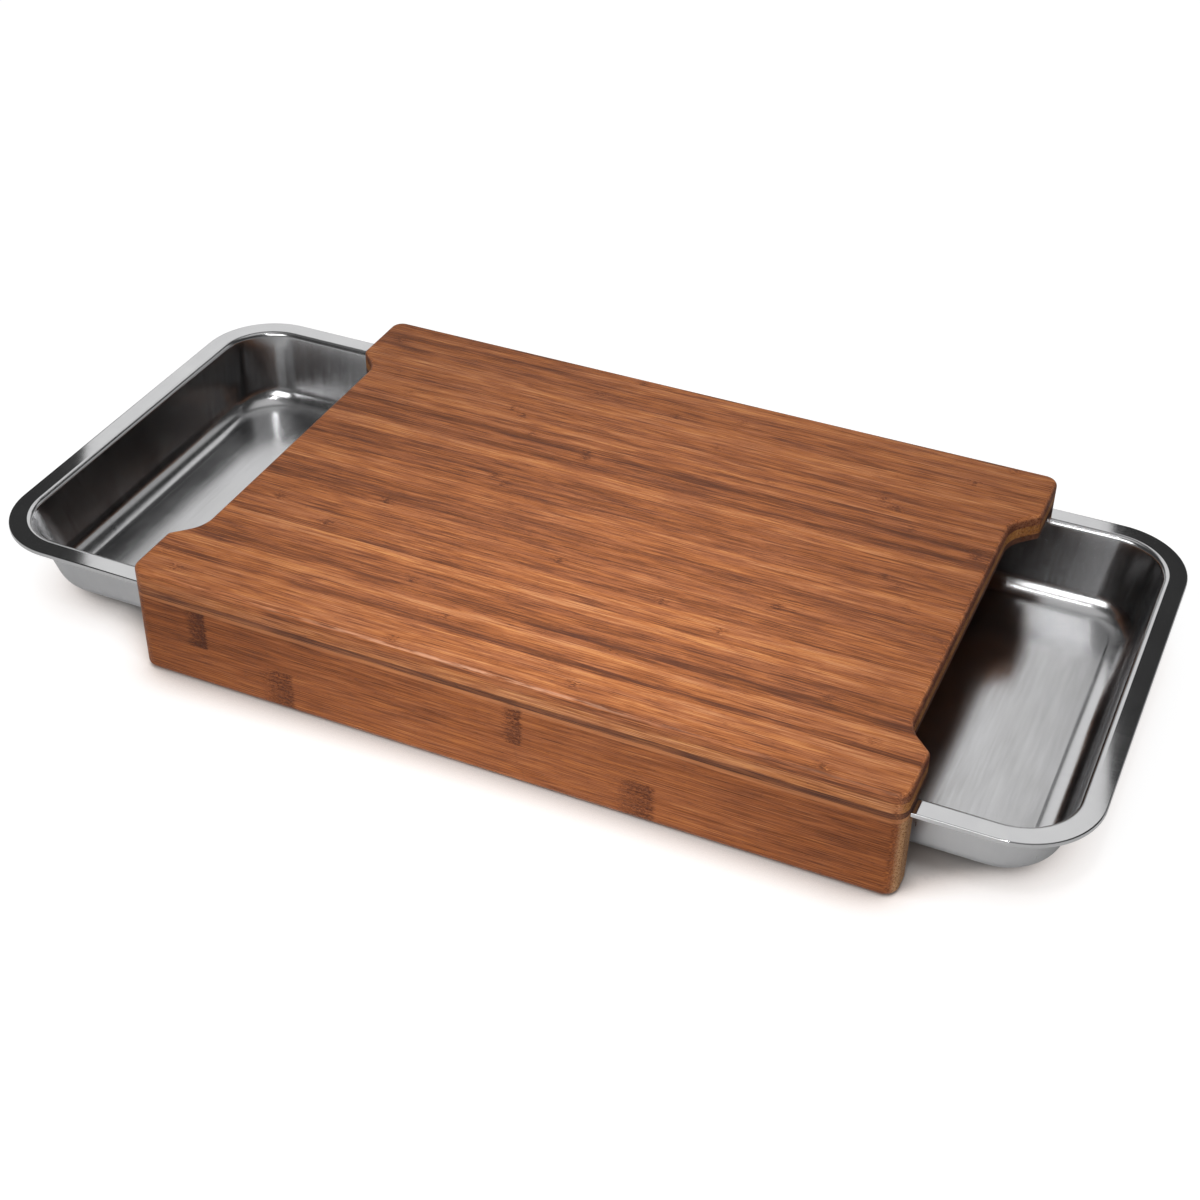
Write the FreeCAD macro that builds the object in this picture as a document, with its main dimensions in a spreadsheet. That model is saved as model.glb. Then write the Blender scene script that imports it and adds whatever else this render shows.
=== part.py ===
import FreeCAD, Part
import math
import os

import Sketcher

# Cutting board with two pull-out trays, millimetres.
#
# Frame: +X runs along the long side of the board, +Y to its back and +Z up.  The origin lies
# under the middle of the board, on the surface that the board stands on.
#
# A three-ply panel lies on a front and a back rail, each glued up from two lamellas.  A divider
# across the middle ties the rails together and stops the trays.  Each rail has a rebate along its
# inner top edge, and the rim of a pressed steel tray slides in the two rebates, under the panel.
# The left tray pulls out towards -X and the right one towards +X.

document = FreeCAD.newDocument("cutting_board")
sheet = document.addObject("Spreadsheet::Sheet", "Sizes")


class Size:
    """A number together with the sheet expression that gives it."""

    def __init__(self, number, text):
        self.number = number
        self.text = text

    def combine(self, other, sign, number):
        text = other.text if isinstance(other, Size) else repr(other)
        return Size(number, "(%s %s %s)" % (self.text, sign, text))

    def __add__(self, other):
        return self.combine(other, "+", self.number + plain(other))

    def __sub__(self, other):
        return self.combine(other, "-", self.number - plain(other))

    def __mul__(self, other):
        return self.combine(other, "*", self.number * plain(other))

    def __truediv__(self, other):
        return self.combine(other, "/", self.number / plain(other))

    def __neg__(self):
        return self * -1


def plain(value):
    """The number in a Size, or the number itself."""
    return value.number if isinstance(value, Size) else value


def cell(alias, number, note):
    """Write one driving dimension into the sheet and return it as a Size."""
    cell.row += 1
    sheet.set("A%d" % cell.row, alias)
    sheet.set("B%d" % cell.row, "%g" % number)
    sheet.set("C%d" % cell.row, note)
    sheet.setAlias("B%d" % cell.row, alias)
    return Size(number, "Sizes." + alias)


cell.row = 0

# Board
board_length = cell("board_length", 400, "panel and rails along X")
board_width = cell("board_width", 275, "over the rails along Y")
board_height = cell("board_height", 62, "table to working surface")
board_corner = cell("board_corner", 7, "upright outer corners, seen from above")
top_thick = cell("top_thick", 5.5, "top ply")
core_thick = cell("core_thick", 5.5, "core ply")
under_thick = cell("under_thick", 3.5, "bottom ply")
top_edge = cell("top_edge", 2.5, "rounding round the working surface")

# Scoops cut into both short sides of the panel, over the trays
scoop_depth = cell("scoop_depth", 13, "how far a scoop is cut in from the short side")
scoop_half = cell("scoop_half", 101, "half the mouth of a scoop")
scoop_shift = cell("scoop_shift", 2.5, "scoops lie this far in front of the middle")
scoop_round = cell("scoop_round", 18, "hollow corners of a scoop")
corner_spare = cell("corner_spare", 0.5, "small upright corners beyond the edge rounding they meet")

# Rails and divider
rail_thick = cell("rail_thick", 18, "rail along Y")
rail_foot = cell("rail_foot", 3.5, "rounding along the rail's underside")
lower_height = cell("lower_height", 23.5, "lower lamella of rails and divider")
divider_thick = cell("divider_thick", 14, "divider along X")
divider_foot = cell("divider_foot", 2, "rounding along the divider's underside")

# Pins
pin_bore = cell("pin_bore", 4, "pins from the rails into the panel, diameter")
pin_reach = cell("pin_reach", 12, "how far a rail pin goes into the lower lamella")
pin_cover = cell("pin_cover", 1.5, "core ply left over a rail pin's hole")
pin_end = cell("pin_end", 24, "last rail pin from the end of the rail")
dowel_bore = cell("dowel_bore", 6, "dowels from the divider into the rails, diameter")
dowel_in_rail = cell("dowel_in_rail", 10, "dowel hole in the rail")
dowel_in_divider = cell("dowel_in_divider", 18, "dowel hole in the divider's end")
glue_gap = cell("glue_gap", 0.1, "glue round and beyond the ends of pins and dowels")

# Trays
tray_set_back = cell("tray_set_back", 2.7, "end of a closed tray inside the short side")
tray_clearance = cell("tray_clearance", 0.3, "rim to rebate, panel and divider")
tray_side_wall = cell("tray_side_wall", 7.5, "rail left outside its rebate")
tray_lift = cell("tray_lift", 5.2, "tray's underside above the table")
tray_sheet = cell("tray_sheet", 0.7, "steel sheet")
end_run = cell("end_run", 7, "how far the base lies inside the mouth along X")
side_run = cell("side_run", 11, "how far the base lies inside the mouth along Y")
rim_width = cell("rim_width", 11.7, "flat rim of the tray")
rim_corner = cell("rim_corner", 40, "outer corners of the rim")
mouth_corner = cell("mouth_corner", 29, "corners of the tray's mouth")
mouth_round = cell("mouth_round", 2, "bend from the rim into the wall")
hem_height = cell("hem_height", 2.5, "turned-down hem round the rim")
hem_width = cell("hem_width", 1.6, "hem seen from above")
hem_round = cell("hem_round", 0.5, "rounding of the hem")
base_corner = cell("base_corner", 28, "corners of the tray's base, before the bend")
floor_bend = cell("floor_bend", 13, "bend from the wall into the floor, outside")
panel_margin = cell("panel_margin", 1.5, "raised floor panel beyond the bend, from the base")
panel_rise = cell("panel_rise", 0.6, "height of the raised floor panel")
left_pull = cell("left_pull", 104.5, "left tray, pulled out from the divider")
right_pull = cell("right_pull", 81, "right tray, pulled out from the divider")

RAIL_PINS = 4
SIDES = {"left": -1, "right": 1}

# Levels, places and fits that follow from the sizes above
zero = Size(0, "0")
panel_under = board_height - top_thick - core_thick - under_thick
core_level = panel_under + under_thick
top_level = core_level + core_thick
inner_half = board_width / 2 - rail_thick
rim_top = panel_under - tray_clearance
ledge_level = rim_top - hem_height - tray_clearance
tray_width = board_width - (tray_side_wall + tray_clearance) * 2
tray_length = board_length / 2 - divider_thick / 2 - tray_clearance - tray_set_back
ear_round = top_edge + corner_spare
rail_inner_corner = rail_foot + corner_spare
floor_level = tray_lift + tray_sheet
pin_top = core_level + core_thick - pin_cover
pin_bottom = lower_height - pin_reach
pin_line = tray_side_wall / 2
pin_pitch = (board_length - pin_end * 2) / (RAIL_PINS - 1)
dowel_levels = {"lower": lower_height / 2, "upper": (lower_height + ledge_level) / 2}


def bind(item, path, size):
    """Tie a property of a document object to the sheet."""
    item.setExpression(path, size.text)


def new_body(label):
    body = document.addObject("PartDesign::Body", label)
    body.Label = label
    return body


def new_sketch(body, name, role, offset):
    """A sketch on one of the body's own origin planes, moved along the plane's normal."""
    sketch = body.newObject("Sketcher::SketchObject", name)
    planes = [plane for plane in body.Origin.OriginFeatures if plane.Role == role]
    sketch.AttachmentSupport = [(planes[0], "")]
    sketch.MapMode = "FlatFace"
    bind(sketch, "AttachmentOffset.Base.z", offset)
    return sketch


def constrain(sketch, kind, *arguments, size=None):
    """Add a constraint, tied to the sheet when a size is given."""
    if size is None:
        sketch.addConstraint(Sketcher.Constraint(kind, *arguments))
        return
    index = sketch.addConstraint(Sketcher.Constraint(kind, *arguments, size.number))
    bind(sketch, "Constraints[%d]" % index, size)


def place_point(sketch, geometry, which, x, y):
    """Fix a point of the sketch at x, y."""
    for kind, size in (("DistanceX", x), ("DistanceY", y)):
        if size.number < 0:
            constrain(sketch, kind, geometry, which, -1, 1, size=-size)
        else:
            constrain(sketch, kind, -1, 1, geometry, which, size=size)


def corner_arc(before, corner, after, radius):
    """Ends, middle and sweep of the arc that rounds a corner of an outline."""
    here = FreeCAD.Vector(*corner, 0)
    back = (FreeCAD.Vector(*before, 0) - here).normalize()
    ahead = (FreeCAD.Vector(*after, 0) - here).normalize()
    half_angle = back.getAngle(ahead) / 2
    reach = radius / math.tan(half_angle)
    start = here + back * reach
    end = here + ahead * reach
    centre = here + (back + ahead).normalize() * (radius / math.sin(half_angle))
    return start, end, centre


def draw_outline(sketch, corners):
    """A closed outline from its corners, each an x, a y and a rounding, as Size values."""
    count = len(corners)
    spots = [(x.number, y.number) for x, y, rounding in corners]
    marks = []
    for x, y, rounding in corners:
        mark = sketch.addGeometry(Part.Point(FreeCAD.Vector(x.number, y.number, 0)), True)
        place_point(sketch, mark, 1, x, y)
        marks.append(mark)
    arcs = []
    ends = []
    for index, (x, y, rounding) in enumerate(corners):
        before, after = spots[index - 1], spots[(index + 1) % count]
        start, end, centre = corner_arc(before, spots[index], after, rounding.number)
        turns_left = ((start - centre).cross(end - centre)).z > 0
        first, last = (start, end) if turns_left else (end, start)
        circle = Part.Circle(centre, FreeCAD.Vector(0, 0, 1), rounding.number)
        arc = Part.ArcOfCircle(circle, circle.parameter(first), circle.parameter(last))
        arcs.append(sketch.addGeometry(arc, False))
        constrain(sketch, "Radius", arcs[-1], size=rounding)
        ends.append((start, end, 1 if turns_left else 2, 2 if turns_left else 1))
    for index in range(count):
        following = (index + 1) % count
        segment = Part.LineSegment(ends[index][1], ends[following][0])
        line = sketch.addGeometry(segment, False)
        constrain(sketch, "Tangent", arcs[index], ends[index][3], line, 1)
        constrain(sketch, "Tangent", line, 2, arcs[following], ends[following][2])
        constrain(sketch, "PointOnObject", marks[index], 1, line)
        constrain(sketch, "PointOnObject", marks[following], 1, line)


def draw_sharp_outline(sketch, corners):
    """A closed outline of straight lines between corners given as Size pairs."""
    count = len(corners)
    lines = []
    for index, (x, y) in enumerate(corners):
        far_x, far_y = corners[(index + 1) % count]
        start = FreeCAD.Vector(x.number, y.number, 0)
        end = FreeCAD.Vector(far_x.number, far_y.number, 0)
        lines.append(sketch.addGeometry(Part.LineSegment(start, end), False))
    for index, (x, y) in enumerate(corners):
        constrain(sketch, "Coincident", lines[index - 1], 2, lines[index], 1)
        place_point(sketch, lines[index], 1, x, y)


def draw_circle(sketch, x, y, radius):
    centre = FreeCAD.Vector(x.number, y.number, 0)
    circle = sketch.addGeometry(Part.Circle(centre, FreeCAD.Vector(0, 0, 1), radius.number), False)
    place_point(sketch, circle, 3, x, y)
    constrain(sketch, "Radius", circle, size=radius)


def rectangle(half_x, half_y, rounding):
    """Corners of a rounded rectangle about the origin."""
    signs = ((-1, -1), (1, -1), (1, 1), (-1, 1))
    return [(half_x * across, half_y * along, rounding) for across, along in signs]


def expect_change(body, name, before, grows):
    """Stop when a feature has not added or removed material as it should."""
    change = body.Shape.Volume - before
    if (change > 0) != grows:
        raise ValueError("%s of %s changed the volume by %g" % (name, body.Label, change))


def extrude(body, kind, name, sketch, length, reverse):
    """A Pad or Pocket of a sketch."""
    before = body.Shape.Volume if body.Tip else 0
    feature = body.newObject("PartDesign::" + kind, name)
    feature.Profile = sketch
    feature.Reversed = reverse
    bind(feature, "Length", length)
    document.recompute()
    expect_change(body, name, before, kind == "Pad")


def loft(body, kind, name, mouth, base):
    """Join or cut a straight-walled loft from the mouth sketch to the base sketch."""
    before = body.Shape.Volume
    feature = body.newObject("PartDesign::" + kind, name)
    feature.Profile = mouth
    feature.Sections = [base]
    feature.Ruled = True
    document.recompute()
    expect_change(body, name, before, kind == "AdditiveLoft")


def round_edges(body, name, radius, wanted):
    """Fillet those edges of the body's last feature that a test picks out."""
    base = body.Tip
    names = []
    for number, edge in enumerate(base.Shape.Edges, 1):
        if wanted(edge):
            names.append("Edge%d" % number)
    fillet = body.newObject("PartDesign::Fillet", name)
    fillet.Base = (base, names)
    bind(fillet, "Radius", radius)
    document.recompute()


def lies_at(edge, level):
    """True for an edge that lies flat at this height."""
    box = edge.BoundBox
    return abs(box.ZMin - level.number) < 1e-4 and abs(box.ZMax - level.number) < 1e-4


def ends_within(edge, half):
    """True when both ends of an edge lie within this half length and half width."""
    spare = 0.01
    reach_x = half[0].number + spare
    reach_y = half[1].number + spare
    return all(abs(end.X) < reach_x and abs(end.Y) < reach_y for end in edge.Vertexes)


def panel_corners():
    """Outline of the panel with a scoop in both short sides, anticlockwise from front left."""
    half_x = board_length / 2
    half_y = board_width / 2
    inner_x = half_x - scoop_depth
    front_mouth = -scoop_half - scoop_shift
    back_mouth = scoop_half - scoop_shift
    front_floor = front_mouth + scoop_depth
    back_floor = back_mouth - scoop_depth
    return [
        (-half_x, -half_y, board_corner),
        (half_x, -half_y, board_corner),
        (half_x, front_mouth, ear_round),
        (inner_x, front_floor, scoop_round),
        (inner_x, back_floor, scoop_round),
        (half_x, back_mouth, ear_round),
        (half_x, half_y, board_corner),
        (-half_x, half_y, board_corner),
        (-half_x, back_mouth, ear_round),
        (-inner_x, back_floor, scoop_round),
        (-inner_x, front_floor, scoop_round),
        (-half_x, front_mouth, ear_round),
    ]


def pin_places():
    """X of each rail pin, spread evenly about the middle."""
    return [pin_pitch * (number - (RAIL_PINS - 1) / 2) for number in range(RAIL_PINS)]


def make_ply(label, level, thick):
    """One ply of the panel, with its underside at this level."""
    body = new_body(label)
    sketch = new_sketch(body, label + "_outline", "XY_Plane", level)
    draw_outline(sketch, panel_corners())
    extrude(body, "Pad", label + "_pad", sketch, thick, False)
    return body


def drill_panel(body, level, depth):
    """Holes for the rail pins, upwards from this level."""
    sketch = new_sketch(body, body.Label + "_pin_holes", "XY_Plane", level)
    line = board_width / 2 - pin_line
    for side in (-1, 1):
        for place in pin_places():
            draw_circle(sketch, place, line * side, pin_bore / 2 + glue_gap)
    extrude(body, "Pocket", body.Label + "_drilled", sketch, depth, True)


def make_top_ply():
    body = make_ply("top_ply", top_level, top_thick)
    round_edges(body, "top_ply_edge", top_edge, lambda edge: lies_at(edge, board_height))
    return body


def make_core_ply():
    body = make_ply("core_ply", core_level, core_thick)
    drill_panel(body, core_level, core_thick - pin_cover + glue_gap)
    return body


def make_bottom_ply():
    body = make_ply("bottom_ply", panel_under, under_thick)
    drill_panel(body, panel_under, under_thick)
    return body


def turn_to_back(body):
    """Stand a rail part, modelled behind its outer face, at the front or at the back."""
    if body.Label.startswith("back"):
        body.Placement.Rotation = FreeCAD.Rotation(FreeCAD.Vector(0, 0, 1), 180)
        bind(body, "Placement.Base.y", board_width / 2)
    else:
        bind(body, "Placement.Base.y", -board_width / 2)


def rail_corners():
    """Outline of a rail seen from above, with its outer face on the X axis."""
    half_x = board_length / 2
    return [
        (-half_x, zero, board_corner),
        (half_x, zero, board_corner),
        (half_x, rail_thick, rail_inner_corner),
        (-half_x, rail_thick, rail_inner_corner),
    ]


def drill_rail(body, level):
    """Hole in a rail lamella's inner face for the dowel from the divider."""
    sketch = new_sketch(body, body.Label + "_dowel_hole", "XZ_Plane", -rail_thick)
    draw_circle(sketch, zero, level, dowel_bore / 2 + glue_gap)
    extrude(body, "Pocket", body.Label + "_dowel_drilled", sketch, dowel_in_rail, True)


def drill_for_pins(body, level, depth):
    """Holes for the rail pins, downwards from this level."""
    sketch = new_sketch(body, body.Label + "_pin_holes", "XY_Plane", level)
    for place in pin_places():
        draw_circle(sketch, place, pin_line, pin_bore / 2 + glue_gap)
    extrude(body, "Pocket", body.Label + "_pins_drilled", sketch, depth, False)


def make_lower_lamella(rail):
    body = new_body(rail + "_rail_lower")
    sketch = new_sketch(body, body.Label + "_outline", "XY_Plane", zero)
    draw_outline(sketch, rail_corners())
    extrude(body, "Pad", body.Label + "_pad", sketch, lower_height, False)
    round_edges(body, body.Label + "_foot", rail_foot, lambda edge: lies_at(edge, zero))
    drill_for_pins(body, lower_height, pin_reach + glue_gap)
    drill_rail(body, dowel_levels["lower"])
    turn_to_back(body)
    return body


def make_upper_lamella(rail):
    """Upper lamella of a rail, with the rebate that carries the tray rims."""
    body = new_body(rail + "_rail_upper")
    sketch = new_sketch(body, body.Label + "_outline", "XY_Plane", lower_height)
    draw_outline(sketch, rail_corners())
    height = panel_under - lower_height
    extrude(body, "Pad", body.Label + "_pad", sketch, height, False)
    rebate = new_sketch(body, body.Label + "_rebate", "XY_Plane", panel_under)
    past_end = board_length / 2 + rail_thick
    past_face = rail_thick * 2
    corners = [(-past_end, tray_side_wall), (past_end, tray_side_wall)]
    corners += [(past_end, past_face), (-past_end, past_face)]
    draw_sharp_outline(rebate, corners)
    depth = panel_under - ledge_level
    extrude(body, "Pocket", body.Label + "_rebated", rebate, depth, False)
    drill_for_pins(body, panel_under, height)
    drill_rail(body, dowel_levels["upper"])
    turn_to_back(body)
    return body


def make_divider(level_name, bottom, top):
    """One lamella of the divider, butted between the rails."""
    body = new_body("divider_" + level_name)
    sketch = new_sketch(body, body.Label + "_outline", "XY_Plane", bottom)
    half_x = divider_thick / 2
    corners = [(-half_x, -inner_half), (half_x, -inner_half)]
    corners += [(half_x, inner_half), (-half_x, inner_half)]
    draw_sharp_outline(sketch, corners)
    extrude(body, "Pad", body.Label + "_pad", sketch, top - bottom, False)
    if level_name == "lower":
        round_edges(
            body,
            body.Label + "_foot",
            divider_foot,
            lambda edge: lies_at(edge, bottom) and edge.BoundBox.YLength > edge.BoundBox.XLength,
        )
    for side, reverse in ((-1, False), (1, True)):
        name = body.Label + ("_front_hole" if side < 0 else "_back_hole")
        end = new_sketch(body, name, "XZ_Plane", -inner_half * side)
        draw_circle(end, zero, dowel_levels[level_name], dowel_bore / 2 + glue_gap)
        extrude(body, "Pocket", name + "_drilled", end, dowel_in_divider, reverse)
    return body


def make_group(label, members):
    """Separate solids that share one node."""
    group = document.addObject("Part::Compound", label)
    group.Label = label
    group.Links = members
    return group


def make_rail_pins(rail):
    """Pins through the upper lamella into the lower one and up into the panel."""
    side = -1 if rail == "front" else 1
    pins = []
    for number, place in enumerate(pin_places(), 1):
        pin = document.addObject("Part::Cylinder", "%s_pin_%d" % (rail, number))
        bind(pin, "Radius", pin_bore / 2)
        bind(pin, "Height", pin_top - pin_bottom)
        bind(pin, "Placement.Base.x", place)
        bind(pin, "Placement.Base.y", (board_width / 2 - pin_line) * side)
        bind(pin, "Placement.Base.z", pin_bottom)
        pins.append(pin)
    return make_group(rail + "_rail_pins", pins)


def make_divider_dowels():
    """Two dowels at each end of the divider, one in each lamella."""
    dowels = []
    length = dowel_in_rail + dowel_in_divider - glue_gap * 2
    for end, side in (("front", -1), ("back", 1)):
        middle = (inner_half + (dowel_in_rail - dowel_in_divider) / 2) * side
        for level_name, level in dowel_levels.items():
            dowel = document.addObject("Part::Cylinder", "%s_%s_dowel" % (end, level_name))
            dowel.Placement.Rotation = FreeCAD.Rotation(FreeCAD.Vector(1, 0, 0), -90)
            bind(dowel, "Radius", dowel_bore / 2)
            bind(dowel, "Height", length)
            bind(dowel, "Placement.Base.y", middle - length / 2)
            bind(dowel, "Placement.Base.z", level)
            dowels.append(dowel)
    return make_group("divider_dowels", dowels)


def draw_pair(body, name, levels, halves, corners):
    """Rounded rectangles at two levels, for a loft."""
    pair = []
    for end, level, half, corner in zip(("_mouth", "_base"), levels, halves, corners):
        sketch = new_sketch(body, name + end, "XY_Plane", level)
        draw_outline(sketch, rectangle(half[0], half[1], corner))
        pair.append(sketch)
    return pair


def press_rim(body, half_x, half_y):
    """Flat rim of a tray with the hem that hangs from its edge."""
    outline = rectangle(half_x, half_y, rim_corner)
    rim = new_sketch(body, body.Label + "_rim", "XY_Plane", rim_top)
    draw_outline(rim, outline)
    extrude(body, "Pad", body.Label + "_rim_pad", rim, tray_sheet, True)

    hem = new_sketch(body, body.Label + "_hem", "XY_Plane", rim_top)
    draw_outline(hem, outline)
    draw_outline(hem, rectangle(half_x - hem_width, half_y - hem_width, rim_corner - hem_width))
    extrude(body, "Pad", body.Label + "_hem_pad", hem, hem_height, True)
    hem_foot = rim_top - hem_height
    round_edges(
        body,
        body.Label + "_hem_edge",
        hem_round,
        lambda edge: lies_at(edge, rim_top) or lies_at(edge, hem_foot),
    )


def press_bowl(body, mouth, base):
    """Sloping walls and floor of a tray, between the outside of its mouth and of its base."""
    inner_mouth = tuple(half - tray_sheet for half in mouth)
    inner_base = tuple(half - tray_sheet for half in base)
    shell = draw_pair(
        body,
        body.Label + "_shell",
        (rim_top, tray_lift),
        (mouth, base),
        (mouth_corner + tray_sheet, base_corner + tray_sheet),
    )
    loft(body, "AdditiveLoft", body.Label + "_shell_loft", *shell)
    hollow = draw_pair(
        body,
        body.Label + "_hollow",
        (rim_top, floor_level),
        (inner_mouth, inner_base),
        (mouth_corner, base_corner),
    )
    loft(body, "SubtractiveLoft", body.Label + "_hollow_loft", *hollow)


def bend_bowl(body, mouth):
    """Bends of a tray from the walls into the floor and from the rim into the walls."""
    rim_under = rim_top - tray_sheet
    round_edges(
        body,
        body.Label + "_inner_bend",
        floor_bend - tray_sheet,
        lambda edge: lies_at(edge, floor_level),
    )
    round_edges(
        body,
        body.Label + "_outer_bend",
        floor_bend,
        lambda edge: lies_at(edge, tray_lift),
    )
    round_edges(
        body,
        body.Label + "_mouth_under",
        mouth_round - tray_sheet,
        lambda edge: lies_at(edge, rim_under) and ends_within(edge, mouth),
    )
    round_edges(
        body,
        body.Label + "_mouth_edge",
        mouth_round,
        lambda edge: lies_at(edge, rim_top) and ends_within(edge, mouth),
    )


def raise_floor(body, base):
    """Panel pressed up in the middle of a tray's floor."""
    inset = floor_bend + panel_margin
    corner = base_corner + tray_sheet - inset
    recess_half = tuple(half - inset for half in base)
    panel_half = tuple(half + tray_sheet for half in recess_half)
    panel = new_sketch(body, body.Label + "_floor_panel", "XY_Plane", floor_level)
    draw_outline(panel, rectangle(*panel_half, corner + tray_sheet))
    extrude(body, "Pad", body.Label + "_floor_raised", panel, panel_rise, False)
    recess = new_sketch(body, body.Label + "_floor_recess", "XY_Plane", tray_lift)
    draw_outline(recess, rectangle(*recess_half, corner))
    extrude(body, "Pocket", body.Label + "_floor_recessed", recess, panel_rise, True)


def make_tray(side, pull):
    """A pressed tray, made about the middle of its rim and then pulled out by this much."""
    body = new_body(side + "_tray")
    half_x = tray_length / 2
    half_y = tray_width / 2
    mouth_inset = rim_width - tray_sheet
    mouth = (half_x - mouth_inset, half_y - mouth_inset)
    base = (mouth[0] - end_run, mouth[1] - side_run)
    press_rim(body, half_x, half_y)
    press_bowl(body, mouth, base)
    bend_bowl(body, mouth)
    raise_floor(body, base)
    out = divider_thick / 2 + tray_clearance + half_x + pull
    bind(body, "Placement.Base.x", out * SIDES[side])
    return body


sub_parts = [make_top_ply(), make_core_ply(), make_bottom_ply()]
for rail in ("front", "back"):
    sub_parts += [make_lower_lamella(rail), make_upper_lamella(rail), make_rail_pins(rail)]
sub_parts.append(make_divider("lower", zero, lower_height))
sub_parts.append(make_divider("upper", lower_height, panel_under))
sub_parts.append(make_divider_dowels())
sub_parts += [make_tray("left", left_pull), make_tray("right", right_pull)]

document.recompute()

for item in document.Objects:
    if "Invalid" in item.State or "Error" in item.State:
        raise ValueError("%s did not compute" % item.Label)
for part in sub_parts:
    if part.Shape.isNull() or not part.Shape.isValid():
        raise ValueError("%s has no valid shape" % part.Label)

os.makedirs("parts", exist_ok=True)
for part in sub_parts:
    part.Shape.exportStep("parts/%s.step" % part.Label)
    print("%-20s solids %d volume %.1f" % (part.Label, len(part.Shape.Solids), part.Shape.Volume))
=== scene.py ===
import math

import bmesh
import bpy
from mathutils import Matrix, Vector


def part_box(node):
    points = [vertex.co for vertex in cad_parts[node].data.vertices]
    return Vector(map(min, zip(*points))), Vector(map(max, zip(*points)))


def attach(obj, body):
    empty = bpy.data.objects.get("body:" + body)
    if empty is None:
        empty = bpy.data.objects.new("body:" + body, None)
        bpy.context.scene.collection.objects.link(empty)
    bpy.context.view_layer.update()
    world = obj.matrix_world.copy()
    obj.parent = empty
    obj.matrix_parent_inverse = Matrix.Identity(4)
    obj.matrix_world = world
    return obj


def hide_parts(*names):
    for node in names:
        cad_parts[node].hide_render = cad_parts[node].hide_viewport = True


# A dark bamboo cutting board over two pull-out steel trays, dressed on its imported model.
#
# The board's CAD solids stay and get bamboo materials.  Each tray is replaced by a pressed sheet
# with a rim, a hem and a bowl.  X runs along the board's long side and Y to its back.  Lengths are
# in metres unless a name ends in _MM, except in the materials, which count in millimetres.

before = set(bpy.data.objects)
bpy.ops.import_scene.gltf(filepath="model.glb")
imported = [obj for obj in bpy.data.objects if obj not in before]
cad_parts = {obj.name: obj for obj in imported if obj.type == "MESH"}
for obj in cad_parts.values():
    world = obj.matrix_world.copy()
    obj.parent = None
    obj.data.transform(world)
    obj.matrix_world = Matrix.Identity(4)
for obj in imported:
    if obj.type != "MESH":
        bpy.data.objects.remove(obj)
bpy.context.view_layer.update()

MM = 0.001

# Tray
RIM_WIDTH = 11.7 * MM
RIM_CORNER = 40 * MM
MOUTH_CORNER = 29 * MM
MOUTH_ROUND = 3 * MM
BASE_CORNER = 28 * MM
SHEET = 0.7 * MM
END_RUN = 7 * MM
SIDE_RUN = 11 * MM
FLOOR_BEND = 13 * MM
PANEL_MARGIN = 1.5 * MM
PANEL_RISE = 0.6 * MM
HEM_HEIGHT = 2.5 * MM
HEM_WIDTH = 1.6 * MM
HEM_ROUND = 0.5 * MM

# Steps of the tray's mesh
CORNER_STEPS = 20
SHORT_SIDE_STEPS = 8
LONG_SIDE_STEPS = 12
MOUTH_STEPS = 6
WALL_STEPS = 8
BEND_STEPS = 12
HEM_STEPS = 5
RIM_SHARES = (0.0, 0.03, 0.25, 0.5, 0.75, 0.97, 1.0)
PANEL_STEP = ((0.3, 0.15), (0.7, 0.85), (1.0, 1.0))

# Bamboo
TOP_STRIP_MM = 5
RAIL_STRIP_MM = 6
PIN_STRIP_MM = 40
NODE_SPACING_MM = 215
SCOOP_WALL_X_MM = (182, 185)
SCOOP_WALL_Y_MM = (118, 116)
# Painted shade on the rails: the middle of their lit part along X, and the distances from it over which
# their ends darken
RAIL_MIDDLE_MM = 20
RAIL_SHADED_MM = (70, 210)
# Rubbed edges and their painted highlight: strongest at this place along X, fading out between these
# distances from it
WORN_AND_HIGHLIT_MIDDLE_MM = -20
WORN_AND_HIGHLIT_MM = (140, 25)


# Shader nodes

def display(red, green, blue):
    """A colour from its 0 to 255 display values, as the linear values that shaders use."""
    linear = []
    for value in (red, green, blue):
        share = value / 255
        linear.append(share / 12.92 if share <= 0.04045 else ((share + 0.055) / 1.055) ** 2.4)
    return (*linear, 1.0)


def shades(*values):
    """Colours from their display values."""
    return [display(*value) for value in values]


class Wire:
    """An output of a shader node; arithmetic on it adds the nodes that it needs."""

    def __init__(self, graph, socket):
        self.graph = graph
        self.socket = socket

    def __add__(self, other):
        return self.graph.math("ADD", self, other)

    def __sub__(self, other):
        return self.graph.math("SUBTRACT", self, other)

    def __mul__(self, other):
        return self.graph.math("MULTIPLY", self, other)

    def __truediv__(self, other):
        return self.graph.math("DIVIDE", self, other)


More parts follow.
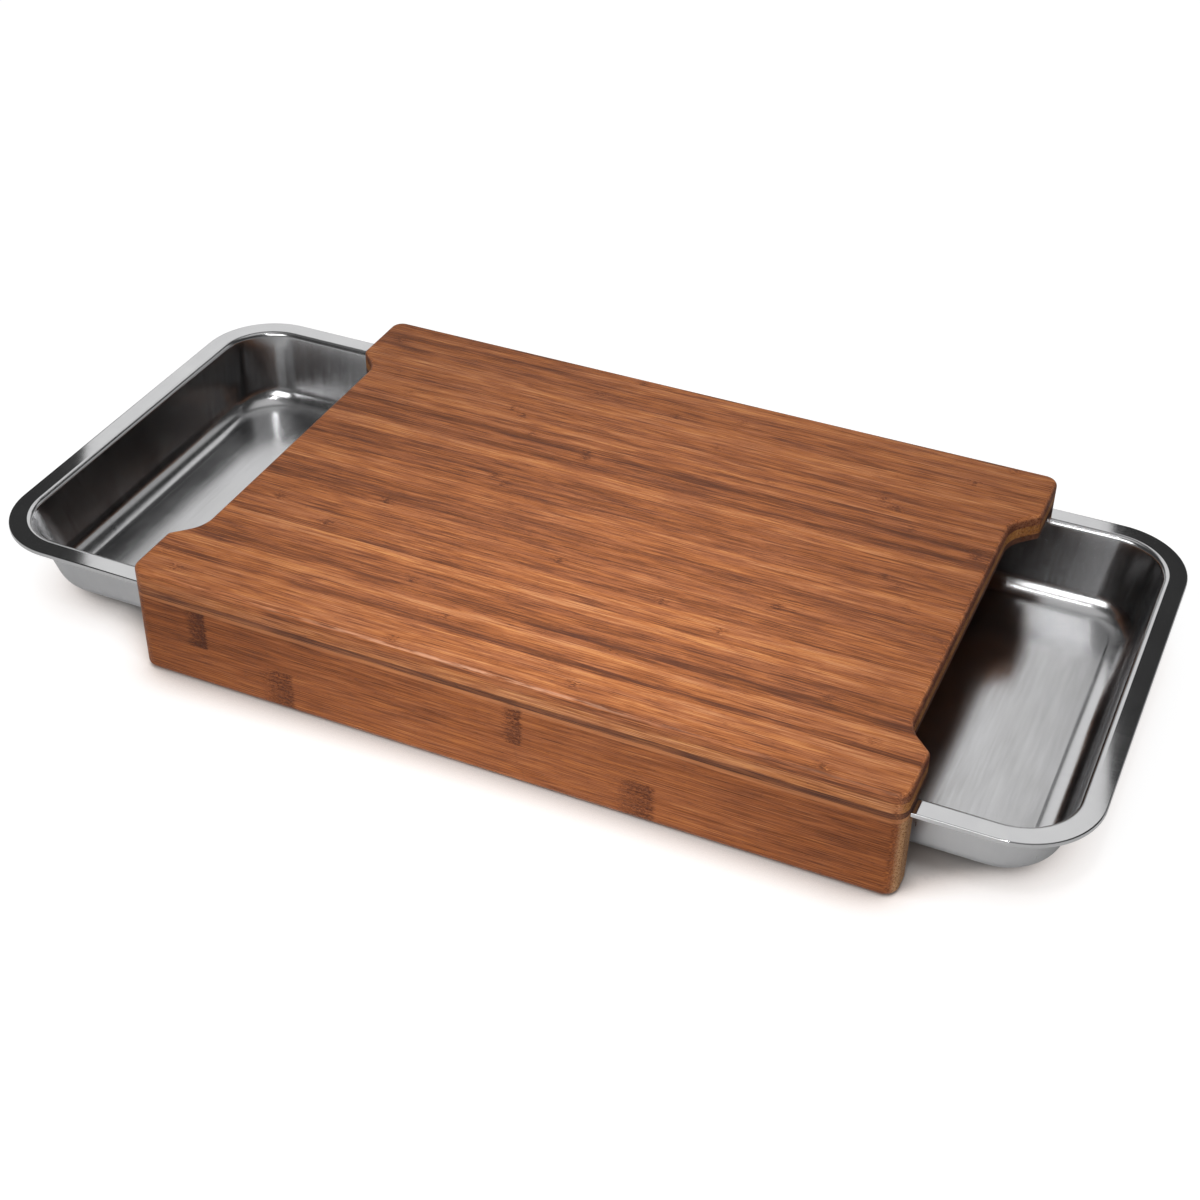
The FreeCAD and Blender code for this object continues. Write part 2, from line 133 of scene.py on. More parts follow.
class Graph:
    """Short calls that build a node tree."""

    def __init__(self, tree):
        self.tree = tree

    def add(self, kind, settings=None, inputs=None, output=0):
        node = self.tree.nodes.new(kind)
        for name, value in (settings or {}).items():
            setattr(node, name, value)
        for name, value in (inputs or {}).items():
            self.feed(node.inputs[name], value)
        return Wire(self, node.outputs[output])

    def feed(self, socket, value):
        if isinstance(value, Wire):
            self.tree.links.new(value.socket, socket)
        else:
            socket.default_value = value

    def math(self, operation, *values):
        return self.add("ShaderNodeMath", {"operation": operation}, dict(enumerate(values)))

    def size(self, value):
        """The value without its sign."""
        return self.math("ABSOLUTE", value)

    def split(self, vector):
        node = self.tree.nodes.new("ShaderNodeSeparateXYZ")
        self.feed(node.inputs[0], vector)
        return [Wire(self, output) for output in node.outputs]

    def join(self, x, y, z):
        return self.add("ShaderNodeCombineXYZ", None, {0: x, 1: y, 2: z})

    def place(self):
        """Where the point lies on its object, in millimetres."""
        spot = self.add("ShaderNodeTexCoord", output="Object")
        return [axis * (1 / MM) for axis in self.split(spot)]

    def noise(self, vector, detail=2.0, roughness=0.5):
        """Noise from about 0.25 to 0.75, one lump to each unit of the vector."""
        inputs = {"Vector": vector, "Scale": 1.0, "Detail": detail, "Roughness": roughness}
        return self.add("ShaderNodeTexNoise", None, inputs)

    def random(self, value):
        """A number from 0 to 1 for each whole value."""
        settings = {"noise_dimensions": "1D"}
        return self.add("ShaderNodeTexWhiteNoise", settings, {"W": value}, "Value")

    def ease(self, value, start, end, low=0.0, high=1.0):
        """Runs smoothly from low to high while the value goes from start to end."""
        inputs = {"Value": value, "From Min": start, "From Max": end, "To Min": low, "To Max": high}
        return self.add("ShaderNodeMapRange", {"interpolation_type": "SMOOTHSTEP"}, inputs)

    def blend(self, share, first, second, mode="MIX"):
        """Mixes two colours."""
        node = self.tree.nodes.new("ShaderNodeMix")
        node.data_type = "RGBA"
        node.blend_type = mode
        self.feed(node.inputs["Factor"], share)
        self.feed(node.inputs[6], first)
        self.feed(node.inputs[7], second)
        return Wire(self, node.outputs[2])

    def ramp(self, value, stops):
        """A colour ramp; stops are pairs of a position and a colour."""
        node = self.tree.nodes.new("ShaderNodeValToRGB")
        elements = node.color_ramp.elements
        while len(elements) < len(stops):
            elements.new(1.0)
        for element, (position, colour) in zip(elements, stops):
            element.position = position
            element.color = colour
        self.feed(node.inputs[0], value)
        return Wire(self, node.outputs[0])

    def bump(self, height, strength, distance, normal=None):
        inputs = {"Strength": strength, "Distance": distance, "Height": height}
        if normal is not None:
            inputs["Normal"] = normal
        return self.add("ShaderNodeBump", None, inputs)


def new_material(name):
    """A material, the graph of its node tree and its own shader."""
    material = bpy.data.materials.new(name)
    material.use_nodes = True
    graph = Graph(material.node_tree)
    return material, graph, graph.tree.nodes["Principled BSDF"]


def summed(*layers):
    """The sum of noise layers, each taken about its middle and times its weight."""
    total = 0.0
    for wire, weight in layers:
        total = (wire - 0.5) * weight + total
    return total


# Bamboo

TONE_STOPS = (0.05, 0.3, 0.5, 0.72, 0.98)
# Pale colour of rubbed edges, partly wear and partly a painted highlight
RUBBED_AND_HIGHLIT_WOOD = display(218, 162, 128)
WARM_TINT = (1.0, 0.96, 0.82, 1.0)
COOL_TINT = (0.93, 0.92, 0.95, 1.0)

# From the darkest to the lightest
TOP_TONES = shades((96, 56, 38), (126, 74, 46), (155, 93, 57), (177, 111, 69), (200, 139, 92))
# The top ply's end grain is darkened partly with painted shade, and the scoops' walls take it too
TOP_END_WITH_SHADE = shades((56, 28, 20), (80, 42, 28), (104, 58, 38), (130, 78, 50), (158, 100, 68))
CORE_TONES = shades((94, 56, 37), (125, 74, 47), (155, 96, 60), (178, 116, 74), (204, 147, 100))
CORE_END = shades((92, 54, 26), (122, 74, 34), (150, 94, 46), (172, 116, 62), (194, 140, 84))
UNDER_TONES = shades((66, 40, 29), (86, 52, 36), (110, 66, 44), (132, 82, 54), (154, 102, 68))
UNDER_END = shades((42, 24, 18), (60, 34, 24), (80, 46, 32), (100, 60, 42), (120, 76, 54))
RAIL_TONES = shades((74, 38, 21), (108, 59, 31), (141, 81, 45), (165, 101, 58), (194, 132, 80))
RAIL_END = shades((96, 60, 36), (126, 84, 52), (152, 108, 70), (176, 132, 90), (202, 162, 120))
PIN_TONES = shades((150, 112, 74), (180, 144, 100), (204, 170, 124), (220, 188, 142), (236, 208, 168))

# Strips of the working surface that stand out: place along Y, half width and change of tone
TOP_STRIPES = (
    (88.0, 3.0, -0.14),
    (73.5, 3.0, -0.18),
    (63.5, 5.5, 0.12),
    (53.5, 3.2, -0.30),
    (40.0, 2.4, -0.24),
    (26.5, 2.2, -0.16),
    (-22.0, 4.0, -0.10),
    (-70.5, 6.5, 0.14),
    (-80.5, 2.4, -0.22),
    (-93.5, 2.5, -0.26),
    (-104.0, 6.0, 0.14),
    (-114.3, 2.0, -0.34),
    (-123.0, 6.0, 0.08),
)

# Nodes of the wide rail strips: place along X, half width and depth
FRONT_UPPER_MARKS = ((-163.7, 4.8, 0.42), (10.3, 4.4, 0.36))
FRONT_LOWER_MARKS = ((-118.7, 8.0, 0.34), (73.7, 8.8, 0.32))
BACK_UPPER_MARKS = ((-92.0, 5.0, 0.42), (96.0, 6.0, 0.4))
BACK_LOWER_MARKS = ((-20.0, 8.0, 0.4), (158.0, 7.0, 0.42))

# Lighter band along the top of the upper rail strips: its height above the table and its colour
RAIL_BAND = (45.3, display(190, 126, 82))


class Grain:
    """Places in a piece of bamboo, along and across its fibres."""

    def __init__(self, graph, along_axis):
        normal = graph.add("ShaderNodeTexCoord", output="Normal")
        self.graph = graph
        self.x, self.y, self.z = graph.place()
        self.facing = [graph.size(axis) for axis in graph.split(normal)]
        if along_axis == "x":
            self.along, self.across, self.end_facing = self.x, self.y, self.facing[0]
        else:
            self.along, self.across, self.end_facing = self.y, self.x, self.facing[1]
        self.bent, self.bent_z = self.across, self.z

    def noise(self, long_mm, wide_mm, detail=2.0, roughness=0.5):
        """Noise in lumps of this length along the fibres and this width across them."""
        spot = self.graph.join(self.along / long_mm, self.bent / wide_mm, self.bent_z / wide_mm)
        return self.graph.noise(spot, detail, roughness)

    def bend(self, share):
        """Curls the fibres where the share is above 0."""
        curl = self.noise(4, 2.2)
        self.bent = self.across + (curl - 0.5) * share * 3.4
        self.bent_z = self.z + (curl - 0.5) * share * 2.4


def wide_nodes(graph, shifted, marks, mottle):
    """How dark the given nodes of one wide strip are, and where they are."""
    depth = 0.0
    halo = 0.0
    for middle, half, strength in marks:
        offset = shifted - middle
        soft = half * 0.22
        start = graph.ease(offset, -half - soft * 2, -half + soft * 2)
        patch = start * graph.ease(offset, half + soft, half - soft)
        weight = graph.ease(offset, -half, half, 0.45, 1.0) * (mottle * 2.4 - 0.4)
        depth = patch * weight * strength + depth
        halo = patch + halo
    return depth, halo


def strip_nodes(graph, shifted, strip, seed, mottle):
    """How dark the nodes of narrow strips are, and where they are; every strip has its own."""
    strength = graph.ease(graph.random(strip * 0.77 + seed + 9), 0.3, 1.0)
    first = graph.random(strip * 2.11 + seed + 40) * NODE_SPACING_MM
    half_spacing = NODE_SPACING_MM / 2
    gap = graph.size(graph.math("WRAP", shifted - first, half_spacing, -half_spacing))
    halo = graph.ease(gap, 6.0, 1.0) * strength
    line = graph.ease(gap, 1.8, 0.3) * strength
    return halo * (mottle - 0.35) * 0.7 + line * mottle * 0.25, halo


def striped(graph, wood, tone, stripes, broad, patchy, seed):
    """The tone with some strips darker or lighter, more or less so along the grain."""
    for middle, half, change in stripes:
        offset = graph.size(wood.across + (broad - 0.5) * 0.6 - middle)
        shape = graph.ease(offset, half + 0.25, half - 0.25)
        fade = graph.ease(graph.noise(graph.join(wood.along / 90, middle, seed), 2.0), 0.3, 0.68)
        tone = tone + shape * (fade * 0.7 + 0.3) * (patchy + 0.35) * change
    return tone


def end_grain(graph, wood, strip_tone, mottle, end_tones):
    """Its colour, where it shows on the ends and the scoops' walls, and its dots."""
    spot = graph.join(wood.x / 0.95, wood.y / 0.95, wood.z / 0.95)
    settings = {"feature": "F1", "voronoi_dimensions": "3D"}
    inputs = {"Vector": spot, "Scale": 1.0, "Randomness": 1.0}
    dots = graph.ease(graph.add("ShaderNodeTexVoronoi", settings, inputs), 0.22, 0.52)
    tone = dots * 0.4 + (strip_tone - 0.5) * 0.25 + (mottle - 0.5) * 0.7 + 0.25
    colour = graph.ramp(tone, list(zip(TONE_STOPS, end_tones)))
    # The scoops' walls take the end-grain colour; on the top ply its dark tones are partly painted shade
    near_end = graph.ease(graph.size(wood.x), *SCOOP_WALL_X_MM)
    in_scoop = near_end * graph.ease(graph.size(wood.y), *SCOOP_WALL_Y_MM)
    scoop_wall = in_scoop * graph.ease(wood.facing[2], 0.7, 0.3)
    share = graph.math("MAXIMUM", graph.ease(wood.end_facing, 0.5, 0.85), scoop_wall)
    return colour, share, dots


def bamboo(
    name, tones, end_tones, strip_mm, seed, grain="x",
    figure=1.0, stripes=(), marks=(), painted_end_shade=0.0, light_band=None,
):
    """Bamboo strips with fibres along the grain, nodes, end grain, and rubbed edges with painted
    highlight.

    tones and end_tones run from the darkest to the lightest colour, and figure is how much the tone
    changes from place to place.  stripes are tones of chosen strips, each a place across the grain,
    a half width and a change of tone.  marks are the nodes of a wide strip, each a place along the
    grain, a half width and a depth; without them every strip has its own.  painted_end_shade darkens
    both ends with painted shade, and light_band is the height and colour of a band along the top.
    """
    material, graph, shader = new_material(name)
    wood = Grain(graph, grain)
    along, across = wood.along, wood.across
    strip = graph.math("FLOOR", across / strip_mm + seed)
    strip_tone = graph.random(strip * 1.37 + seed)
    band_tone = graph.noise(graph.join(strip * 0.31 + seed, seed * 1.7, along / 500), 1.0)
    mottle = wood.noise(1.6, 1.1, 2.0, 0.7)
    # Patches along the edges that get the rubbed colour with its painted highlight
    rub_and_highlight_patches = graph.ease(wood.noise(16, 1.4, 3.0, 0.6), 0.36, 0.6)

    # Nodes, and the fibres that bend round them
    sway = graph.noise(graph.join(across / 1.3, wood.z / 1.3, seed), 2.0)
    shifted = along + (sway - 0.5) * 6
    if marks:
        node_depth, halo = wide_nodes(graph, shifted, marks, mottle)
    else:
        node_depth, halo = strip_nodes(graph, shifted, strip, seed, mottle)
    wood.bend(halo)
    broad = wood.noise(110, 2.6)
    patchy = wood.noise(26, 4.5, 2.0, 0.6)
    streak = wood.noise(36, 1.25, 2.0, 0.6)
    fibre = wood.noise(14, 0.6, 2.0, 0.7)
    thread = wood.noise(22, 0.42, 0.0)
    pore = graph.ease(wood.noise(3.4, 0.55, 1.0), 0.6, 0.72)
    warmth = graph.ease(wood.noise(35, 3.2), 0.35, 0.65)

    # Tone of the long grain
    slow = summed((strip_tone, 0.24), (band_tone, 0.5), (broad, 0.3), (patchy, 0.45), (streak, 0.36))
    fine = summed((fibre, figure * 0.55 + 0.3), (thread, figure * 0.4 + 0.5)) - pore * 0.13
    tone = slow * figure + fine + 0.5
    tone = striped(graph, wood, tone, stripes, broad, patchy, seed)
    # Painted shade: the rails darken towards both ends, where less light falls on them
    if painted_end_shade:
        tone = tone - graph.ease(graph.size(along - RAIL_MIDDLE_MM), *RAIL_SHADED_MM) * painted_end_shade
    long_grain = graph.ramp(tone - node_depth, list(zip(TONE_STOPS, tones)))
    tint = graph.blend(warmth, COOL_TINT, WARM_TINT)
    long_grain = graph.blend(1.0, long_grain, tint, "MULTIPLY")

    end_colour, end_share, dots = end_grain(graph, wood, strip_tone, mottle, end_tones)
    colour = graph.blend(end_share, long_grain, end_colour)

    # Rubbed edges with a painted highlight on them, most of all near the middle of the board
    widest = graph.math("MAXIMUM", wood.facing[0], graph.math("MAXIMUM", *wood.facing[1:]))
    rubbed_and_highlit = graph.ease(widest, 0.96, 0.8) * rub_and_highlight_patches
    worn_and_highlit = graph.ease(graph.size(wood.x - WORN_AND_HIGHLIT_MIDDLE_MM), *WORN_AND_HIGHLIT_MM, 0.07, 0.6)
    colour = graph.blend(rubbed_and_highlit * worn_and_highlit, colour, RUBBED_AND_HIGHLIT_WOOD)
    if light_band is not None:
        low_mm, band_colour = light_band
        band = graph.ease(wood.z + (broad - 0.5) * 1.6, low_mm - 0.4, low_mm + 0.4)
        colour = graph.blend(band * (streak * 0.9), colour, band_colour)

    graph.feed(shader.inputs["Base Color"], colour)
    shader.inputs["Specular IOR Level"].default_value = 0.16
    rough = (streak - 0.5) * 0.2 + (fibre - 0.5) * 0.3 + 0.5 - rubbed_and_highlit * 0.1 + end_share * 0.14
    graph.feed(shader.inputs["Roughness"], rough)
    strip_place = graph.math("FRACT", across / strip_mm + seed)
    seam = graph.ease(graph.size(strip_place - 0.5), 0.5 - 0.09 / strip_mm, 0.5)
    height = fibre * 0.6 + streak * 0.4 - pore * 0.35 - seam * 0.3 + dots * end_share * 0.5
    graph.feed(shader.inputs["Normal"], graph.bump(height, 0.6, 0.5 * MM))
    return material


def dress_board():
    """Gives the wooden CAD nodes their bamboo; all but the pins and dowels have a seed of their own."""
    pin_wood = bamboo("pin_wood", PIN_TONES, PIN_TONES, PIN_STRIP_MM, 47.5)
    woods = {
        "top_ply": bamboo("bamboo_top", TOP_TONES, TOP_END_WITH_SHADE, TOP_STRIP_MM, 3.0, stripes=TOP_STRIPES),
        "core_ply": bamboo("bamboo_core", CORE_TONES, CORE_END, TOP_STRIP_MM, 11.0),
        "bottom_ply": bamboo("bamboo_under", UNDER_TONES, UNDER_END, TOP_STRIP_MM, 17.0),
        "front_rail_pins": pin_wood,
        "back_rail_pins": pin_wood,
        "divider_dowels": pin_wood,
    }
    for node, seed in (("divider_lower", 41.0), ("divider_upper", 43.0)):
        woods[node] = bamboo("bamboo_" + node, RAIL_TONES, RAIL_END, RAIL_STRIP_MM, seed, grain="y")
    for node, seed, marks, band in (
        ("front_rail_lower", 23.083, FRONT_LOWER_MARKS, None),
        ("front_rail_upper", 29.083, FRONT_UPPER_MARKS, RAIL_BAND),
        ("back_rail_lower", 31.083, BACK_LOWER_MARKS, None),
        ("back_rail_upper", 37.083, BACK_UPPER_MARKS, RAIL_BAND),
    ):
        woods[node] = bamboo(
            "bamboo_" + node, RAIL_TONES, RAIL_END, RAIL_STRIP_MM, seed,
            figure=0.45, marks=marks, painted_end_shade=0.12, light_band=band,
        )
    for node, material in woods.items():
        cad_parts[node].data.materials[0] = material


# Steel

STEEL_SHADES = shades((196, 196, 198), (214, 214, 214))


def steel(name, rough, streaks_mm, streak_depth_mm, wave_depth_mm):
    """Stainless steel with fine streaks; streaks_mm are their length along the sheet and down it."""
    material, graph, shader = new_material(name)
    run, down, _ = graph.split(graph.add("ShaderNodeUVMap", {"uv_map": "sheet"}))
    x, y, z = graph.place()
    long_mm, wide_mm = streaks_mm
    lines = graph.noise(graph.join(run * (1000 / long_mm), down * (1000 / wide_mm), 0.0), 3.0, 0.6)
    smudge = graph.noise(graph.join(x / 26, y / 26, z / 26), 3.0, 0.6)
    wave = graph.noise(graph.join(x / 30, y / 30, z / 30), 0.0)
    shader.inputs["Metallic"].default_value = 1.0
    graph.feed(shader.inputs["Base Color"], graph.blend(smudge, *STEEL_SHADES))
    graph.feed(shader.inputs["Roughness"], summed((lines, rough * 0.7), (smudge, rough * 0.6)) + rough)
    ripple = graph.bump(wave, 1.0, wave_depth_mm * MM)
    graph.feed(shader.inputs["Normal"], graph.bump(lines, 1.0, streak_depth_mm * MM, ripple))
    return material


# Materials of the tray's mesh, in the order of its slots
STEELS = {
    "rim": steel("steel_rim", 0.05, (1.2, 26), 0.0012, 0.02),
    "bowl": steel("steel_bowl", 0.2, (2.5, 40), 0.0008, 0.12),
    "skin": steel("steel_skin", 0.34, (3.0, 60), 0.0015, 0.05),
}


# Trays
#
# A ring is a rounded rectangle about the tray's middle, given as its half size along X and Y, its
# corner radius and its level.

def ring_points(half_x, half_y, corner, level):
    """Points of a ring, anticlockwise from the back end of its right side."""
    centre_x, centre_y = half_x - corner, half_y - corner
    arcs = []
    for side_x, side_y, start in ((1, 1, 0.0), (-1, 1, 90.0), (-1, -1, 180.0), (1, -1, 270.0)):
        arc = []
        for step in range(CORNER_STEPS + 1):
            angle = math.radians(start + 90.0 * step / CORNER_STEPS)
            x = centre_x * side_x + corner * math.cos(angle)
            y = centre_y * side_y + corner * math.sin(angle)
            arc.append(Vector((x, y, level)))
        arcs.append(arc)
    points = []
    for index, arc in enumerate(arcs):
        following = arcs[(index + 1) % len(arcs)]
        steps = LONG_SIDE_STEPS if index % 2 else SHORT_SIDE_STEPS
        points += arc
        points += [arc[-1].lerp(following[0], step / steps) for step in range(1, steps)]
    return points


def wall_half(level, mouth, run, top, floor, bend):
    """Half size of the bowl at this level: a sloping wall that bends into the floor."""
    slope = run / (top - floor)
    tilt = math.atan(slope)
    turn_level = floor + bend * (1 - math.sin(tilt))
    if level >= turn_level:
        return mouth - (top - level) * slope
    turn_half = mouth - (top - turn_level) * slope
    centre = turn_half - bend * math.cos(tilt)
    rise = 1 - (level - floor) / bend
    return centre + bend * math.sqrt(max(0.0, 1 - rise * rise))


def bowl_ring(level, half_x, half_y, corner, base_corner, top, floor, bend):
    """The bowl at one level."""
    x = wall_half(level, half_x, END_RUN, top, floor, bend)
    y = wall_half(level, half_y, SIDE_RUN, top, floor, bend)
    share = (top - level) / (top - floor)
    straight = half_x - (top - level) * END_RUN / (top - floor)
    rounding = corner + (base_corner - corner) * share - (straight - x)
    return x, y, rounding, level


def bowl_rings(half_x, half_y, corner, base_corner, top, floor, bend, mouth_round):
    """Rings from the rim's inner edge down the wall to where the floor begins."""
    end_tilt = math.atan(END_RUN / (top - floor))
    side_tilt = math.atan(SIDE_RUN / (top - floor))

    def rolled(half, tilt, share):
        sweep = math.pi / 2 - tilt
        return half + mouth_round * math.tan(sweep / 2) - mouth_round * math.sin(sweep * share)

    rings = []
    for step in range(MOUTH_STEPS + 1):
        share = step / MOUTH_STEPS
        x, y = rolled(half_x, end_tilt, share), rolled(half_y, side_tilt, share)
        drop = mouth_round * (1 - math.cos((math.pi / 2 - end_tilt) * share))
        rings.append((x, y, corner + x - half_x, top - drop))
    wall_top = rings[-1][3]
    wall_foot = floor + bend * (1 - math.sin(end_tilt))
    levels = [wall_top + (wall_foot - wall_top) * step / WALL_STEPS for step in range(1, WALL_STEPS + 1)]
    for step in range(1, BEND_STEPS + 1):
        angle = end_tilt + (math.pi / 2 - end_tilt) * step / BEND_STEPS
        levels.append(floor + bend * (1 - math.sin(angle)))
    for level in levels:
        rings.append(bowl_ring(level, half_x, half_y, corner, base_corner, top, floor, bend))
    return rings


def floor_rings(x, y, corner, level):
    """Rings from the edge of the floor over the step up to its raised panel."""
    rings = [(x - PANEL_MARGIN, y - PANEL_MARGIN, corner - PANEL_MARGIN, level)]
    for along, up in PANEL_STEP:
        inset = PANEL_MARGIN + PANEL_RISE * 1.6 * along
        rings.append((x - inset, y - inset, corner - inset, level + PANEL_RISE * up))
    return rings


def rim_rings(mouth, half_x, half_y, top):
    """Rings from the mouth over the flat rim, round the hem and back under the rim."""
    def ring(inset, drop):
        return half_x - inset, half_y - inset, RIM_CORNER - inset, top - drop

    edge = ring(HEM_ROUND, 0)
    rings = [tuple(a + (b - a) * share for a, b in zip(mouth, edge)) for share in RIM_SHARES]
    angles = [math.pi / 2 * step / HEM_STEPS for step in range(HEM_STEPS + 1)]
    for angle in angles[1:]:
        rings.append(ring(HEM_ROUND * (1 - math.sin(angle)), HEM_ROUND * (1 - math.cos(angle))))
    for angle in angles:
        drop = HEM_HEIGHT - HEM_ROUND * (1 - math.sin(angle))
        rings.append(ring(HEM_ROUND * (1 - math.cos(angle)), drop))
    for angle in angles:
        inset = HEM_WIDTH - HEM_ROUND * (1 - math.sin(angle))
        rings.append(ring(inset, HEM_HEIGHT - HEM_ROUND * (1 - math.cos(angle))))
    rings.append(ring(HEM_WIDTH, SHEET))
    return rings


def sheet_mesh(name, profile, middle, first_run):
    """A closed skin through the profile's rings, with a map in metres along and down the sheet.

    profile is a list of pairs of a steel's name and a ring, and first_run is the ring that the map
    is measured along.
    """
    work = bmesh.new()
    layer = work.loops.layers.uv.new("sheet")
    slots = {part: index for index, part in enumerate(STEELS)}
    rows = []
    for _, (x, y, corner, level) in profile:
        spots = ring_points(x, y, corner, level)
        rows.append([work.verts.new(spot + Vector((middle.x, middle.y, 0))) for spot in spots])
    count = len(rows[0])
    measured = rows[first_run]
    runs = [0.0]
    for index in range(count):
        runs.append(runs[-1] + (measured[(index + 1) % count].co - measured[index].co).length)
    downs = [0.0]
    for upper, lower in zip(rows, rows[1:]):
        downs.append(downs[-1] + (lower[0].co - upper[0].co).length)

    for row, (upper, lower) in enumerate(zip(rows, rows[1:])):
        for index in range(count):
            after = (index + 1) % count
            face = work.faces.new((upper[index], upper[after], lower[after], lower[index]))
            face.smooth = True
            face.material_index = slots[profile[row + 1][0]]
            spots = ((index, row), (index + 1, row), (index + 1, row + 1), (index, row + 1))
            for loop, (along, down) in zip(face.loops, spots):
                loop[layer].uv = (runs[along], downs[down])
    for cap, part in ((rows[0], "bowl"), (list(reversed(rows[-1])), "skin")):
        face = work.faces.new(cap)
        face.smooth = True
        face.material_index = slots[part]
        for loop in face.loops:
            loop[layer].uv = (loop.vert.co.x, loop.vert.co.y)
    bmesh.ops.recalc_face_normals(work, faces=work.faces)
    mesh = bpy.data.meshes.new(name)
    work.to_mesh(mesh)
    work.free()
    for material in STEELS.values():
        mesh.materials.append(material)
    return mesh


def make_tray(node, body):
    """A pressed steel tray in the place of its CAD node."""
    low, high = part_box(node)
    half_x, half_y = (high.x - low.x) / 2, (high.y - low.y) / 2
    mouth_x, mouth_y = half_x - RIM_WIDTH, half_y - RIM_WIDTH
    inside = bowl_rings(
        mouth_x, mouth_y, MOUTH_CORNER, BASE_CORNER,
        high.z, low.z + SHEET, FLOOR_BEND - SHEET, MOUTH_ROUND,
    )
    outside = bowl_rings(
        mouth_x + SHEET, mouth_y + SHEET, MOUTH_CORNER + SHEET, BASE_CORNER + SHEET,
        high.z - SHEET, low.z, FLOOR_BEND, MOUTH_ROUND - SHEET,
    )
    inside += floor_rings(*inside[-1])
    outside += floor_rings(*outside[-1])
    rim = rim_rings(inside[0], half_x, half_y, high.z)

    # Up the inside, over the rim, round the hem and down the outside
    profile = [("bowl", ring) for ring in reversed(inside)]
    profile += [("rim", ring) for ring in rim[1:]]
    profile += [("skin", ring) for ring in outside]
    mesh = sheet_mesh(node + "_sheet", profile, (low + high) / 2, len(inside))
    tray = bpy.data.objects.new(node + "_sheet", mesh)
    bpy.context.scene.collection.objects.link(tray)
    weights = tray.modifiers.new("normals", "WEIGHTED_NORMAL")
    weights.keep_sharp = True
    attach(tray, body)
    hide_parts(node)


# Studio

FLOOR_REACH = 9.0
CONTACT_REACH = 28 * MM
COVER_REACH = 200 * MM
SHADOW_TINT = (1.0, 0.64, 0.46, 1)
CAMERA_PLACE = (0.32685, -0.76341, 0.63945)
CAMERA_SIDE = 180 - 23.54
CAMERA_ABOVE = 37.12
CAMERA_ROLL = 0.82

# What the steel mirrors: height in the sky and grey
MIRRORED_SKY = ((0.0, 0.8), (0.15, 0.35), (0.35, 0.05), (0.8, 0.045), (1.0, 0.3))


def grey(level):
    return (level, level, level, 1)


def toward(azimuth, elevation, distance):
    """A place seen from the origin in this direction; azimuth 0 is +Y and grows towards +X."""
    a, e = math.radians(azimuth), math.radians(elevation)
    return Vector((math.sin(a) * math.cos(e), math.cos(a) * math.cos(e), math.sin(e))) * distance


def place_light(light, place, aim):
    lamp = bpy.data.objects.new(light.name, light)
    lamp.location = place
    lamp.rotation_euler = (Vector(aim) - Vector(place)).to_track_quat("-Z", "Y").to_euler()
    bpy.context.scene.collection.objects.link(lamp)


def softbox(name, place, aim, size, power):
    light = bpy.data.lights.new(name, "AREA")
    light.shape = "RECTANGLE"
    light.size, light.size_y = size
    light.energy = power
    place_light(light, place, aim)


def spot_light(name, place, aim, spread, power):
    """A soft-edged pool of light; spread is the angle of its cone in degrees."""
    light = bpy.data.lights.new(name, "SPOT")
    light.spot_size = math.radians(spread)
    light.spot_blend = 1.0
    light.shadow_soft_size = 0.15
    light.energy = power
    place_light(light, place, aim)


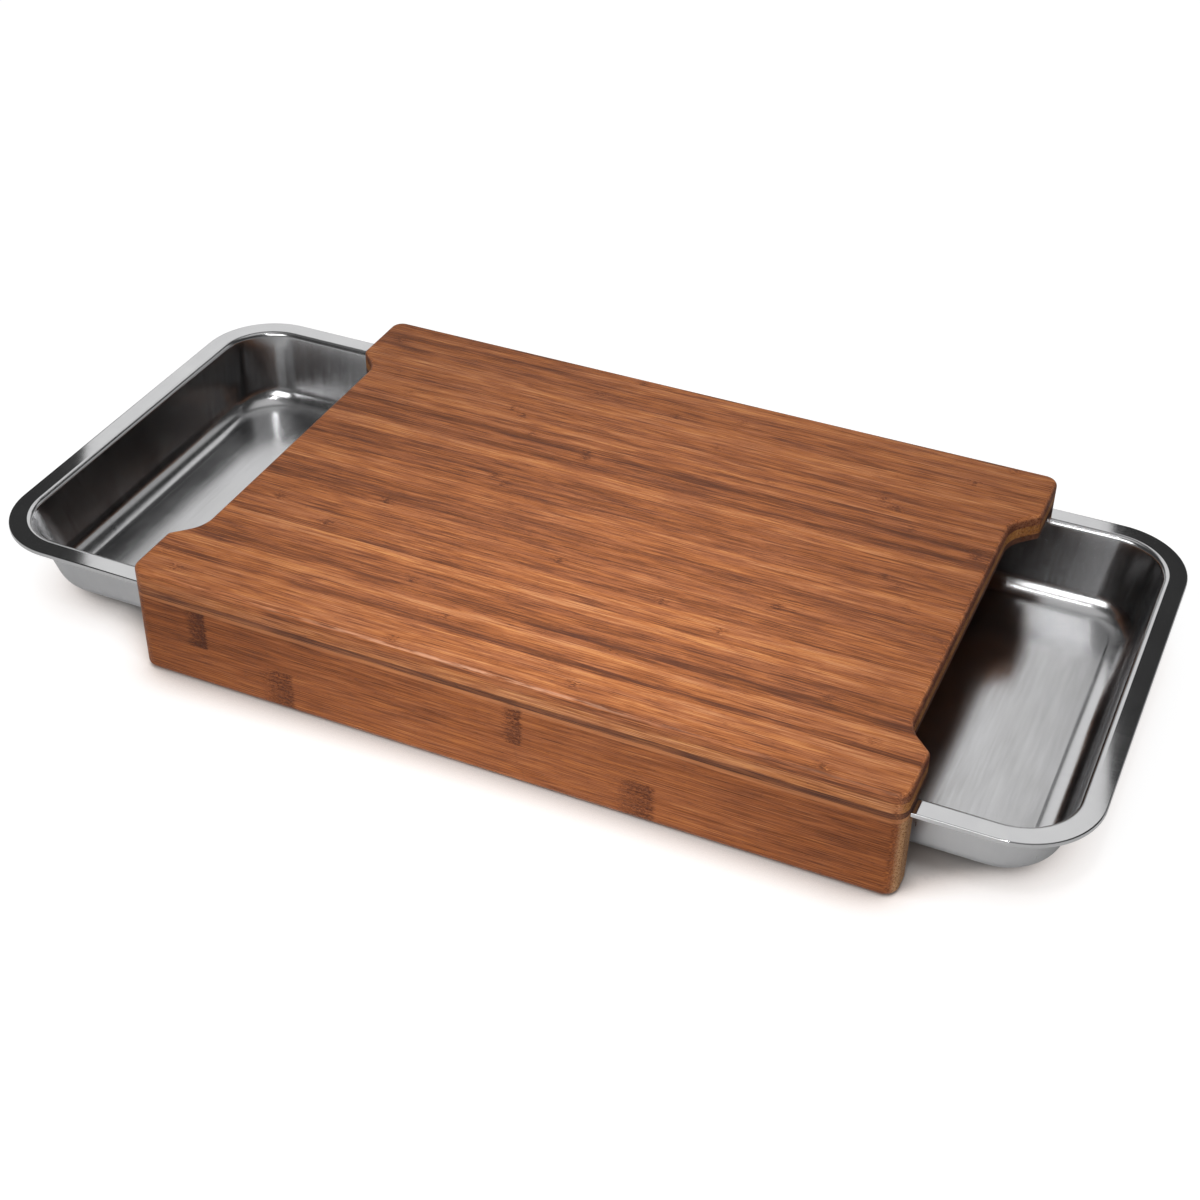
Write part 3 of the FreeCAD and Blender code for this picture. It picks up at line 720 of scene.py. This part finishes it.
def make_floor():
    """A white floor that shines to the camera, but not under the object or where it stands."""
    mesh = bpy.data.meshes.new("floor")
    reach = FLOOR_REACH
    corners = [(-reach, -reach, 0), (reach, -reach, 0), (reach, reach, 0), (-reach, reach, 0)]
    mesh.from_pydata(corners, [], [(0, 1, 2, 3)])
    floor = bpy.data.objects.new("floor", mesh)
    bpy.context.scene.collection.objects.link(floor)
    material, graph, shader = new_material("floor_paint")
    shader.inputs["Roughness"].default_value = 0.9
    shader.inputs["Specular IOR Level"].default_value = 0.0
    seen = graph.add("ShaderNodeLightPath", output="Is Camera Ray")
    graph.feed(shader.inputs["Base Color"], graph.blend(seen, grey(0.8), grey(0.3)))

    # A warm shadow along the board, a fainter one by the trays, and a dark one under the board
    contact = graph.add("ShaderNodeAmbientOcclusion", {"samples": 16}, {"Distance": CONTACT_REACH}, "AO")
    cover = graph.add("ShaderNodeAmbientOcclusion", {"samples": 16}, {"Distance": COVER_REACH}, "AO")
    near_board = graph.ease(graph.size(graph.place()[0]), 240, 200, 0.35, 1.0)
    closed = graph.math("SUBTRACT", 1.0, contact)
    glow = graph.math("SUBTRACT", 1.0, closed * closed * near_board * 3)
    glow = graph.math("MAXIMUM", glow, 0.15) * graph.ease(cover, 0.06, 0.36, 0.12, 1.0)
    graph.feed(shader.inputs["Emission Color"], graph.blend(closed * near_board, grey(1), SHADOW_TINT))
    graph.feed(shader.inputs["Emission Strength"], seen * glow * 0.85)
    mesh.materials.append(material)


def make_world():
    """White behind the object, soft grey-white light, and a darker studio in the steel."""
    world = bpy.data.worlds.new("studio")
    world.use_nodes = True
    bpy.context.scene.world = world
    graph = Graph(world.node_tree)
    seen = graph.add("ShaderNodeLightPath", output="Is Camera Ray")
    mirrored = graph.add("ShaderNodeLightPath", output="Is Glossy Ray")
    height = graph.split(graph.add("ShaderNodeTexCoord", output="Generated"))[2]
    sky = graph.ramp(height, [(place, grey(level)) for place, level in MIRRORED_SKY])
    light = graph.blend(seen, graph.blend(mirrored, grey(0.4), sky), grey(1))
    graph.feed(graph.tree.nodes["Background"].inputs["Color"], light)


def make_camera():
    camera = bpy.data.cameras.new("camera")
    camera.lens = 59.17
    camera.sensor_width = 36
    camera.clip_start = 0.01
    holder = bpy.data.objects.new("camera", camera)
    back = toward(CAMERA_SIDE, CAMERA_ABOVE, 1.0)
    right = Vector((0, 0, 1)).cross(back).normalized()
    up = back.cross(right)
    turn = Matrix.Rotation(math.radians(CAMERA_ROLL), 3, back)
    axes = Matrix((turn @ right, turn @ up, back)).transposed()
    holder.matrix_world = Matrix.Translation(CAMERA_PLACE) @ axes.to_4x4()
    bpy.context.scene.collection.objects.link(holder)
    bpy.context.scene.camera = holder


dress_board()
for side in ("left", "right"):
    make_tray(side + "_tray", side + "_tray")
make_floor()
make_world()
make_camera()
softbox("back_softbox", toward(-23.7, 36, 5.0), (0, 0, 0), (3.12, 2.6), 23)
softbox("top_softbox", (0.1, 0.1, 1.7), (0, 0, 0), (1.2, 1.2), 1.5)
softbox("front_softbox", (-0.1, -0.92, 0.86), (0.04, -0.1, 0.05), (0.8, 0.5), 4.8)
softbox("side_softbox", toward(34, 30, 4.0), (0, 0, 0), (1.8, 1.4), 3.5)
spot_light("middle_light", (0.2, -0.7, 1.5), (0.02, -0.07, 0.06), 19, 90)

bpy.context.scene.view_settings.view_transform = "Standard"
